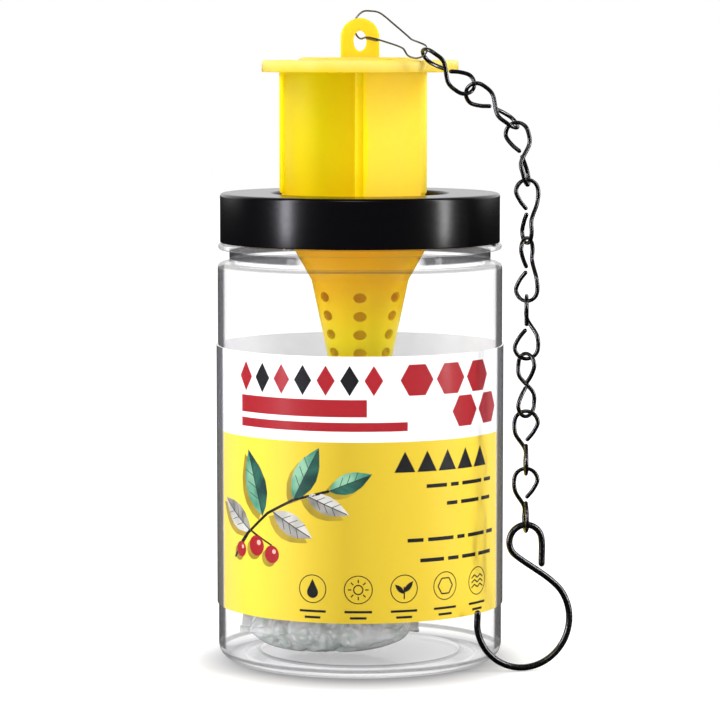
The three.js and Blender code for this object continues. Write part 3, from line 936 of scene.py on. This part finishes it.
def build_roof(yellow):
    lip_bore = ROOF_RADIUS - ROOF_LIP_WALL
    lip_bottom = ROOF_TOP - ROOF_LIP_HEIGHT
    underside = ROOF_TOP - ROOF_PLATE
    recess = HUB_RADIUS + SEAT_GAP
    profile = rounded([
        (0, BOSS_TOP - ROOF_PLATE, 0),
        (recess, BOSS_TOP - ROOF_PLATE, SMALL_ROUND / 2),
        (recess, underside),
        (lip_bore, underside),
        (lip_bore, lip_bottom),
        (ROOF_RADIUS, lip_bottom),
        (ROOF_RADIUS, ROOF_TOP, ROOF_ROUND),
        (recess + BOSS_WALL, ROOF_TOP),
        (recess + BOSS_WALL - BOSS_HEIGHT, BOSS_TOP),
        (0, BOSS_TOP, 0),
    ])
    roof = add("roof_disc", lathe(profile), "head", ["roof"])
    root = BOSS_TOP - ROOF_PLATE / 2
    half = LUG_WIDTH / 2
    outline = [(-half, root), (half, root), *arc(0, LUG_TOP - half, half, 0, 180, DISC_SIDES)]
    oval = disc(0, LUG_HOLE_CENTRE, LUG_HOLE_HEIGHT / 2, LUG_HOLE_WIDTH / LUG_HOLE_HEIGHT, DISC_SIDES)
    lug = plate(outline, LUG_THICKNESS, Matrix.Identity(4), holes=[oval], bevel=LUG_BEVEL)
    boolean(roof, add("lug", lug, None), "UNION")
    smooth_faces(roof.data, JOINED_SMOOTH_ANGLE)
    paint(roof, yellow)


def wrapped(points, lift):
    """Places of (length round the jar, height) on the label, lifted off its face."""
    face = LABEL_RADIUS + LABEL_THICKNESS
    places = []
    for across, up in points:
        angle = across / face
        places.append(Vector(((face + lift) * math.sin(angle), -(face + lift) * math.cos(angle), up)))
    return places


def label_ring(inner, outer):
    """A thin ring of the label's height."""
    corners = ((inner, LABEL_BOTTOM), (outer, LABEL_BOTTOM), (outer, LABEL_TOP), (inner, LABEL_TOP))
    return lathe(corners, closed=True)


def build_label(front, back, clear):
    mesh = label_ring(LABEL_RADIUS, LABEL_RADIUS + LABEL_THICKNESS)
    for face in mesh.faces:
        middle = face.calc_center_median()
        if math.hypot(middle.x, middle.y) < LABEL_RADIUS + LABEL_THICKNESS / 2:
            face.material_index = LABEL_BACK
    paint(add("label_film", mesh, "container", ["label"]), front, back)
    # A clear sheet over the label, there to paint grey shade along its sides
    gloss = label_ring(EDGE_SHADE_SHEET_RADIUS - PRINT_LIFT / 3, EDGE_SHADE_SHEET_RADIUS)
    paint(add("label_edge_shade_sheet", gloss, "container"), clear)


def printed(name, shapes, ink, layer=1):
    """Flat shapes of (length round the jar, height), wrapped on the label as thin print."""
    mesh = bmesh.new()
    for shape in shapes:
        for strip in cut_in_strips(shape):
            below = [mesh.verts.new(place) for place in wrapped(strip, PRINT_LIFT * (layer - 1.5))]
            above = [mesh.verts.new(place) for place in wrapped(strip, PRINT_LIFT * layer)]
            count = len(strip)
            mesh.faces.new(above)
            mesh.faces.new(below[::-1])
            for index in range(count):
                following = (index + 1) % count
                mesh.faces.new((below[index], below[following], above[following], above[index]))
    paint(add(name, mesh, "container"), ink)


def cut_in_strips(shape):
    """Cuts a convex shape by upright lines, so that it can bend round the jar."""
    left = min(across for across, _ in shape)
    right = max(across for across, _ in shape)
    count = max(1, math.ceil((right - left) / PRINT_STEP))
    strips = []
    for index in range(count):
        low = left + (right - left) * index / count
        high = left + (right - left) * (index + 1) / count
        strip = clipped(clipped(shape, low, 1), high, -1)
        if len(strip) > 2:
            strips.append(strip)
    return strips


def clipped(shape, limit, side):
    """The part of a convex shape on one side of an upright line."""
    kept = []
    for index, (across, up) in enumerate(shape):
        before_across, before_up = shape[index - 1]
        inside = (across - limit) * side >= 0
        was_inside = (before_across - limit) * side >= 0
        if inside != was_inside:
            share = (limit - before_across) / (across - before_across)
            kept.append((limit, before_up + (up - before_up) * share))
        if inside:
            kept.append((across, up))
    return kept


def disc(across, up, radius, squeeze=1.0, sides=24):
    """A circle's corners; a squeeze makes it narrower than it is high."""
    turns = [2 * math.pi * step / sides for step in range(sides)]
    return [(across + radius * squeeze * math.cos(a), up + radius * math.sin(a)) for a in turns]


def bar(start, end, width):
    """A straight stroke between two places."""
    across = Vector(end) - Vector(start)
    side = Vector((-across.y, across.x)).normalized() * width / 2
    corners = (Vector(start) - side, Vector(end) - side, Vector(end) + side, Vector(start) + side)
    return [tuple(corner) for corner in corners]


def ringed(across, up, radius, width):
    """A circle's outline, as strokes."""
    rim = disc(across, up, radius, sides=RINGED_SIDES)
    core = disc(across, up, radius - width, sides=RINGED_SIDES)
    return [[rim[index - 1], rim[index], core[index], core[index - 1]] for index in range(RINGED_SIDES)]


def leaf(root, tip, width, side=0):
    """A leaf's outline; side 1 or -1 gives only the half on that side of its rib."""
    root, tip = Vector(root), Vector(tip)
    along = tip - root
    out = Vector((-along.y, along.x)).normalized() * width / 2
    upper = [tuple(root + along * t + out * w) for t, w in LEAF_SHARES]
    lower = [tuple(root + along * t - out * w) for t, w in reversed(LEAF_SHARES)]
    if side > 0:
        return [tuple(root), tuple(tip), *reversed(upper)]
    if side < 0:
        return [tuple(root), *reversed(lower), tuple(tip)]
    return [tuple(root), *reversed(lower), tuple(tip), *reversed(upper)]


def build_print():
    """Plain marks and a berry sprig, in the colours of a printed label."""
    red = print_ink("ink_red", "a8141f")
    black = print_ink("ink_black", "141416")
    marks = [disc(across, up, HEXAGON_RADIUS, sides=6) for across, up in HEXAGONS]
    marks += [bar(*stripe) for stripe in STRIPES]
    lozenges = [disc(across, LOZENGE_HEIGHT, *LOZENGE_SIZE, sides=4) for across in LOZENGES]
    printed("print_red_marks", marks + lozenges[::2], red)
    printed("print_black_lozenges", lozenges[1::2], black)

    foot, tip = PEAK_HEIGHTS
    marks = [[(a, foot), (a + PEAK_WIDTH, foot), (a + PEAK_WIDTH / 2, tip)] for a in PEAKS]
    for height, start, widths in DASH_ROWS:
        for width in widths:
            marks.append(bar((start, height), (start + width, height), DASH_WIDTH))
            start += width + DASH_GAP
    for across in ICONS:
        for height, half in CAPTION_ROWS:
            marks.append(bar((across - half, height), (across + half, height), CAPTION_WIDTH))
    printed("print_black_marks", marks + build_icons(), black)
    build_sprig(red, black)


def build_icons():
    """Five ringed marks: a drop, a sun, a sprout, a hexagon and waves."""
    drop, sun, sprout, hexagon, wave = ICONS
    up = ICON_HEIGHT
    icons = [stroke for across in ICONS for stroke in ringed(across, up, *ICON_RING)]
    icons += [disc(drop, up - 1, 1.7), [(drop - 1.55, up - 0.3), (drop + 1.55, up - 0.3), (drop, up + 2.9)]]
    icons += ringed(sun, up, 1.5, SUN_STROKE)
    for turn in range(SUN_RAYS):
        angle = math.radians(360 * turn / SUN_RAYS)
        way = Vector((math.cos(angle), math.sin(angle)))
        middle = Vector((sun, up))
        icons.append(bar(middle + way * 2, middle + way * 3, SUN_STROKE))
    icons.append(bar((sprout, up - 3), (sprout, up + 0.6), ICON_STROKE))
    icons.append(leaf((sprout, up - 1), (sprout + 2.8, up + 2.2), 1.6))
    icons.append(leaf((sprout, up - 1.4), (sprout - 2.8, up + 1.4), 1.5))
    corners = disc(hexagon, up, 2.6, sides=6)
    icons += [bar(corners[index - 1], corners[index], ICON_STROKE) for index in range(6)]
    for height in (up - 1.4, up, up + 1.4):
        crests = [(wave - 2.8 + 1.4 * k, height + (0.45 if k % 2 else -0.45)) for k in range(5)]
        icons += [bar(start, end, ICON_STROKE) for start, end in zip(crests, crests[1:])]
    return icons


def build_sprig(red, black):
    """A berry sprig, with its shadow printed under it."""
    aside, down = LEAF_SHADOW
    shade = [[(a + aside, u + down) for a, u in leaf(*each)] for each in SPRIG_LEAVES]
    shade += [disc(a + BERRY_SHADOW, u + BERRY_SHADOW, r) for a, u, r in SPRIG_BERRIES]
    printed("print_shadow", shade, print_ink("ink_shadow", "9c8620", "b49a24"))
    twigs = [bar(start, end, STEM_WIDTH) for start, end in zip(SPRIG_STEM, SPRIG_STEM[1:])]
    twigs += [bar(SPRIG_BRANCH, (a, u + r), BRANCH_WIDTH) for a, u, r in SPRIG_BERRIES]
    printed("print_twigs", twigs, black, 2)
    halves = (
        ("light", SPRIG_LEAVES[:3], 1, "ink_teal", "3f8d72", "8fc3a0"),
        ("deep", SPRIG_LEAVES[:3], -1, "ink_deep_teal", "153f38", "2b6a58"),
        ("silver", SPRIG_LEAVES[3:], 1, "ink_silver", "b9b7ae", "d8d6cf"),
        ("ash", SPRIG_LEAVES[3:], -1, "ink_ash", "77756f", "a3a099"),
    )
    for name, leaves, side, *ink in halves:
        printed(f"print_leaves_{name}", [leaf(*each, side=side) for each in leaves], print_ink(*ink), 2)
    veins = []
    for root, tip, width in SPRIG_LEAVES:
        start, along = Vector(root), Vector(tip) - Vector(root)
        out = Vector((-along.y, along.x)).normalized() * width * 0.36
        veins.append(bar(start, start + along * 0.94, RIB_WIDTH))
        for share in VEIN_SHARES:
            for side in (-1, 1):
                middle = start + along * share
                veins.append(bar(middle, middle + along * 0.14 + out * side, VEIN_WIDTH))
    printed("print_veins", veins, print_ink("ink_vein", "33403a"), 3)
    printed("print_berries", [disc(*each) for each in SPRIG_BERRIES], red, 3)
    gloss = [disc(a + r / 3, u + r / 3, r / 4) for a, u, r in SPRIG_BERRIES]
    printed("print_berry_gloss", gloss, print_ink("ink_pale", "f3b9a8"), 3.4)


def sachet_depth(across, out):
    """Half the bag's thickness at a place in shares of its half length and half width."""
    filled = max(0.0, 1 - abs(across / SACHET_SEAM_SHARE) ** SACHET_CROWN_POWER)
    plump = filled**SACHET_END_POWER * max(0.0, 1 - abs(out) ** SACHET_CROWN_POWER) ** 0.5
    return SACHET_FILM + plump * (SACHET_HEIGHT / 2 - SACHET_FILM)


def sachet_spot(across, out, height):
    """A place in the bag, whose ends are narrower than its middle."""
    pinch = 1 - SACHET_PINCH * across * across
    return Vector((across * SACHET_LENGTH / 2, out * pinch * SACHET_WIDTH / 2, height))


def sachet_place(across, out, side):
    """A place on the crumpled film, from the bag's middle."""
    depth = sachet_depth(across, out)
    along, over, through = FOLD_SCALES
    flat = Vector((across * along, out * over, side * through))
    folds = blender_noise.turbulence(flat, FOLD_OCTAVES, True, noise_basis="BLENDER", amplitude_scale=0.5)
    fine = blender_noise.noise(flat * FINE_FOLD_SCALE)
    loose = min(1, depth / FOLD_FREE_DEPTH)
    crumple = loose * (SACHET_FOLD * (folds - FOLD_LEVEL) + SACHET_FOLD / 3 * fine)
    crimp = 0
    if abs(across) > SACHET_SEAM_SHARE:
        turn = across * SACHET_LENGTH * math.pi / CRIMP_PITCH
        crimp = SACHET_FILM * CRIMP_DEPTH_SHARE * math.sin(turn)
    loose_end = max(0, abs(across) - SACHET_WAVE_START)
    wave = SACHET_SEAM_WAVE * math.sin(out * SACHET_WAVE_TURN + across) * loose_end
    return sachet_spot(across, out, side * (depth + min(0, crumple)) + crimp + wave)


def build_sachet(film, grain):
    mesh = bmesh.new()
    centre = Vector((*SACHET_OFFSET, SACHET_FLOOR + SACHET_HEIGHT / 2))
    sheets = []
    for side in (1, -1):
        sheet = []
        for column in range(SACHET_COLUMNS + 1):
            across = 2 * column / SACHET_COLUMNS - 1
            line = []
            for row in range(SACHET_ROWS + 1):
                out = 2 * row / SACHET_ROWS - 1
                if side < 0 and (column in (0, SACHET_COLUMNS) or row in (0, SACHET_ROWS)):
                    line.append(sheets[0][column][row])
                    continue
                line.append(mesh.verts.new(sachet_place(across, out, side) + centre))
            sheet.append(line)
        sheets.append(sheet)
    for side, sheet in zip((1, -1), sheets):
        for near, far in zip(sheet, sheet[1:]):
            for row in range(SACHET_ROWS):
                corners = [near[row], far[row], far[row + 1], near[row + 1]]
                mesh.faces.new(corners[::side])
    bag = add("sachet_bag", mesh, "container", ["bait_sachet"], FILM_SMOOTH_ANGLE)
    paint(bag, film)

    chance = random.Random(SACHET_SEED)
    grains = bmesh.new()
    for _ in range(GRAIN_COUNT):
        across = chance.uniform(-GRAIN_ACROSS_SHARE, GRAIN_ACROSS_SHARE)
        out = chance.uniform(-GRAIN_OUT_SHARE, GRAIN_OUT_SHARE)
        radius = chance.uniform(*GRAIN_RADII)
        room = sachet_depth(across, out) * GRAIN_DEPTH_SHARE - radius
        if room < 0:
            continue
        place = sachet_spot(across, out, chance.uniform(*GRAIN_RISE_SHARES) * room)
        squash = Matrix.Diagonal((*(chance.uniform(*limits) for limits in GRAIN_STRETCHES), 1))
        angle = chance.uniform(0, math.pi)
        turn = Matrix.Rotation(angle, 4, Vector((chance.random(), chance.random(), 1)))
        matrix = Matrix.Translation(place + centre) @ turn @ squash
        bmesh.ops.create_icosphere(grains, subdivisions=1, radius=radius, matrix=matrix)
    heap = add("bait_grains", grains, "container", shading=GRAIN_SMOOTH_ANGLE)
    paint(heap, grain)


def pin_place(shares):
    """A place on the pin, from shares of its reach, lean and rise."""
    along, out, up = shares
    return Vector((along * PIN_REACH, -out * PIN_LEAN, LUG_HOLE_CENTRE + up * PIN_RISE))


def build_pin(steel):
    wire = tube(smooth_line([pin_place(shares) for shares in PIN_SHARES]), PIN_WIRE, seats=PIN_SEAT_SHARES)
    paint(add("pin_spring_wire", wire, "pin", ["pin_wire"]), steel)
    near, far = (pin_place(shares) for shares in CLASP_SHARES)
    forward = (near - far).normalized()
    right = Vector((0, 0, 1)).cross(forward).normalized()
    basis = Matrix((right, forward.cross(right), forward)).transposed().to_4x4()
    place = Matrix.Translation((near + far) / 2) @ basis
    outer = CLASP_WIDTH / 2
    inner = outer - CLASP_WALL
    mesh = bmesh.new()
    rings = []
    for radius in (outer, inner):
        bend = arc(0, 0, radius, -180 - CLASP_WRAP, CLASP_WRAP, DISC_SIDES)
        for end in (-CLASP_LENGTH / 2, CLASP_LENGTH / 2):
            rings.append([mesh.verts.new(place @ Vector((*spot, end))) for spot in bend])
    for first, second in ((0, 1), (1, 3), (3, 2), (2, 0)):
        one, other = rings[first], rings[second]
        for step in range(DISC_SIDES):
            mesh.faces.new((one[step], one[step + 1], other[step + 1], other[step]))
    for step in (0, DISC_SIDES):
        mesh.faces.new((rings[0][step], rings[1][step], rings[3][step], rings[2][step]))
    rims = [edge for edge in mesh.edges if edge.calc_face_angle(0) > math.radians(BEVEL_ANGLE)]
    bmesh.ops.bevel(mesh, geom=rims, offset=CLASP_WALL / 4, segments=2, profile=0.5, affect="EDGES")
    paint(add("pin_folded_clasp", mesh, "pin", ["pin_clasp"]), steel)


def arc(across, up, radius, start, end, steps):
    """Points along a part of a circle."""
    turns = [math.radians(start + (end - start) * step / steps) for step in range(steps + 1)]
    return [(across + radius * math.cos(a), up + radius * math.sin(a)) for a in turns]


def link_line():
    """A link's centre line: two loops on planes turned to each other, joined by a back."""
    centre = LINK_HALF - LINK_LOOP
    loop = [
        (-LINK_LOOP * LINK_TAIL_SHARES[0], LINK_WIRE + SEAT_GAP),
        (-LINK_LOOP * LINK_TAIL_SHARES[1], centre * LINK_TAIL_SHARES[2]),
        *arc(0, centre, LINK_LOOP, 180, 0, LOOP_STEPS),
        (LINK_LOOP * LINK_BACK_SHARES[0], centre * LINK_BACK_SHARES[1]),
    ]
    twist = Matrix.Rotation(math.radians(LINK_TWIST), 3, "Z")
    upper = [Vector((across, 0, up)) for across, up in loop]
    lower = [twist @ Vector((across, 0, -up)) for across, up in loop]
    return smooth_line(upper + lower[::-1], LINK_STEPS)


def link_way(lie):
    """The way that a link points, from its (slope, lean, turn)."""
    slope, lean = math.radians(lie[0]), math.radians(lie[1])
    return Vector((math.cos(slope) * math.cos(lean), -math.sin(lean), -math.sin(slope) * math.cos(lean)))


def build_chain(black):
    line = link_line()
    top = pin_place(BULB_END_SHARES)
    top.x -= LINK_WIRE + PIN_WIRE + SEAT_GAP
    for index, lie in enumerate(CHAIN_LIE):
        along = link_way(lie)
        up = -along
        back = (Vector((0, 1, 0)) - up * up.y).normalized()
        basis = Matrix((back.cross(up), back, up)).transposed().to_4x4()
        middle = top + along * LINK_HALF
        place = Matrix.Translation(middle) @ basis @ Matrix.Rotation(math.radians(lie[2]), 4, "Z")
        mesh = tube([place @ spot for spot in line], LINK_WIRE, seats=LINK_SEAT_SHARES)
        number = index + 1
        nodes = [f"chain_link_{number}"]
        paint(add(f"link_wire_{number}", mesh, f"link_{number}", nodes), black)
        following = CHAIN_LIE[min(number, len(CHAIN_LIE) - 1)]
        top = middle + along * LINK_HALF - (along + link_way(following)).normalized() * WIRES_APART
    build_hook(black, top)


def build_hook(black, top):
    eye = Vector((0, -HOOK_EYE))
    bend = Vector((-HOOK_SHIFT, eye.y - HOOK_DROP))
    apart = bend - eye
    spread_angle = math.acos((HOOK_EYE + HOOK_BEND) / apart.length)
    leave = math.degrees(math.atan2(apart.y, apart.x) % (2 * math.pi) - spread_angle)
    eye_steps, bend_steps = HOOK_STEPS
    flat = [
        (HOOK_EYE, eye.y - HOOK_TIP),
        *arc(eye.x, eye.y, HOOK_EYE, 0, leave, eye_steps),
        *arc(bend.x, bend.y, HOOK_BEND, leave - 180, -HOOK_OPEN, bend_steps),
    ]
    line = smooth_line([Vector((across, 0, up)) for across, up in flat])
    place = Matrix.Translation(top + Vector((0, 0, HOOK_WIRE - LINK_WIRE)))
    place = place @ Matrix.Rotation(math.radians(HOOK_TURN), 4, "Z")
    mesh = tube([place @ spot for spot in line], HOOK_WIRE)
    paint(add("hook_wire", mesh, "hook", ["s_hook"]), black)


def build_stage():
    """A white floor that glows white to the camera and takes the object's shadow; its material adds a
    painted shadow round the foot and a painted pool of light under the base, and it is dark in reflections.
    """
    mesh = bmesh.new()
    bmesh.ops.create_grid(mesh, x_segments=1, y_segments=1, size=FLOOR_REACH)
    mesh.transform(Matrix.Translation((0, 0, -FLOOR_GAP)))
    floor = add("floor", mesh, None)
    material = bpy.data.materials.new("white_floor")
    material.use_nodes = True
    material.node_tree.nodes.clear()
    apart = {0: place_of(material), 1: (0, SHADOW_SHIFT * MM, 0)}
    away = node(material, "ShaderNodeVectorMath", apart, operation="DISTANCE").outputs["Value"]
    # Painted shadow round the foot
    painted_foot_shadow = ramp(material, share_along(material, away, FLOOR_PAINTED_SHADOW_GLOWS), stops_of(FLOOR_PAINTED_SHADOW_GLOWS))
    middle = node(material, "ShaderNodeVectorMath", {0: place_of(material)}, operation="LENGTH")
    near, far = UNDER_BASE_RADII
    # Painted pool of light under the base
    under = spread(material, middle.outputs["Value"], near * MM, far * MM, UNDER_BASE_PAINTED_LIGHT, 0)
    level = merged(material, "MAXIMUM", painted_foot_shadow, under)
    # Where the painted shadow lies the diffuse colour drops to half
    plain = spread(material, level, 0, FLOOR_UNSHADOWED_GLOW, FLOOR_DIFFUSE / 2, FLOOR_DIFFUSE)
    shade = switched(material, ray(material, "Glossy"), plain, ROOM_GLOSS)
    diffuse = node(material, "ShaderNodeBsdfDiffuse", {"Color": shade})
    strength = merged(material, "MULTIPLY", ray(material, "Camera"), level)
    glow = node(material, "ShaderNodeEmission", {"Color": (1, 1, 1, 1), "Strength": strength})
    both = node(material, "ShaderNodeAddShader", {0: diffuse.outputs[0], 1: glow.outputs[0]})
    node(material, "ShaderNodeOutputMaterial", {"Surface": both.outputs[0]})
    paint(floor, material)


def build_world():
    """White to the camera, even as light, and in reflections a dark room with a white backdrop."""
    world = bpy.data.worlds.new("white_studio")
    bpy.context.scene.world = world
    world.use_nodes = True
    background = world.node_tree.nodes["Background"]
    seen = merged(world, "MAXIMUM", ray(world, "Camera"), ray(world, "Transmission"))
    light = spread(world, seen, 0, 1, WORLD_LIGHT, 1)
    way = node(world, "ShaderNodeTexCoord").outputs["Generated"]
    parts = node(world, "ShaderNodeSeparateXYZ", {"Vector": way}).outputs
    backward = spread(world, parts["Y"], *BACKDROP_BACKWARD, 0, 1)
    upward = spread(world, parts["Z"], *BACKDROP_UPWARD, 0, 1)
    backdrop = merged(world, "MULTIPLY", backward, upward)
    gloss = spread(world, backdrop, 0, 1, ROOM_GLOSS, BACKDROP_GLOSS)
    strength = switched(world, ray(world, "Glossy"), light, gloss)
    world.node_tree.links.new(strength, background.inputs["Strength"])
    background.inputs["Color"].default_value = (1, 1, 1, 1)


def softbox(name, place, size, radiance, colour):
    """A rectangular lamp whose face has a set radiance."""
    data = bpy.data.lights.new(name, "AREA")
    data.shape = "RECTANGLE"
    data.size, data.size_y = size
    data.energy = radiance * math.pi * size[0] * size[1]
    data.color = colour
    lamp = bpy.data.objects.new(name, data)
    lamp.location = place
    lamp.rotation_euler = (Vector(LAMP_AIM) - Vector(place)).to_track_quat("-Z", "Y").to_euler()
    bpy.context.collection.objects.link(lamp)


def build_camera():
    data = bpy.data.cameras.new("photo_camera")
    data.sensor_width = SENSOR_WIDTH
    data.lens = FOCAL_PIXELS * SENSOR_WIDTH / FRAME_PIXELS
    camera = bpy.data.objects.new("photo_camera", data)
    camera.location = [value * MM for value in CAMERA_PLACE]
    camera.rotation_euler = (math.radians(90 - CAMERA_PITCH), 0, 0)
    bpy.context.collection.objects.link(camera)
    bpy.context.scene.camera = camera


bpy.context.scene.view_settings.view_transform = "Standard"
black = uneven_finish("black_plastic", "080709", (0.2, 0.27), 900, Specular_IOR_Level=0.3)
bump(black, scale=140, depth=0.02)
steel = uneven_finish("pin_steel", "7c7d80", (0.2, 0.4), 1500, Metallic=1.0)
wire_black = uneven_finish("black_wire", "58585a", (0.18, 0.34), 1200, Metallic=1.0)
bump(wire_black, scale=800, depth=0.03)
label_back = clouded_finish(
    "label_back", ("eeeef0", "fcfcfd"), 0.6, 120, Subsurface_Weight=1.0, Subsurface_Scale=0.005,
    Subsurface_Radius=(1, 1, 1), Specular_IOR_Level=0.1,
)
bait_grain = clouded_finish(
    "bait_grain", ("eaf3e6", "ffffff"), 0.7, 500, Subsurface_Weight=0.3, Subsurface_Scale=0.001,
)
bump(bait_grain, scale=2500, depth=0.05)

build_jar([clear_plastic(*values) for values in JAR_PLASTICS])
build_cap(black)
build_funnel(yellow_plastic("yellow_funnel", FUNNEL_PAINTED_SHADE, "Z"))
build_vanes(yellow_plastic("yellow_vanes", VANE_PAINTED_LIGHT_AND_SHADE, "X"))
build_roof(yellow_plastic("yellow_roof", ROOF_PAINTED_SHADE, "Z"))
build_label(label_print(), label_back, clear_plastic(*LABEL_EDGE_SHADE_SHEET))
build_print()
build_sachet(sachet_film(), bait_grain)
build_pin(steel)
build_chain(wire_black)

build_stage()
build_world()
for lamp in LAMPS:
    softbox(*lamp)
build_camera()
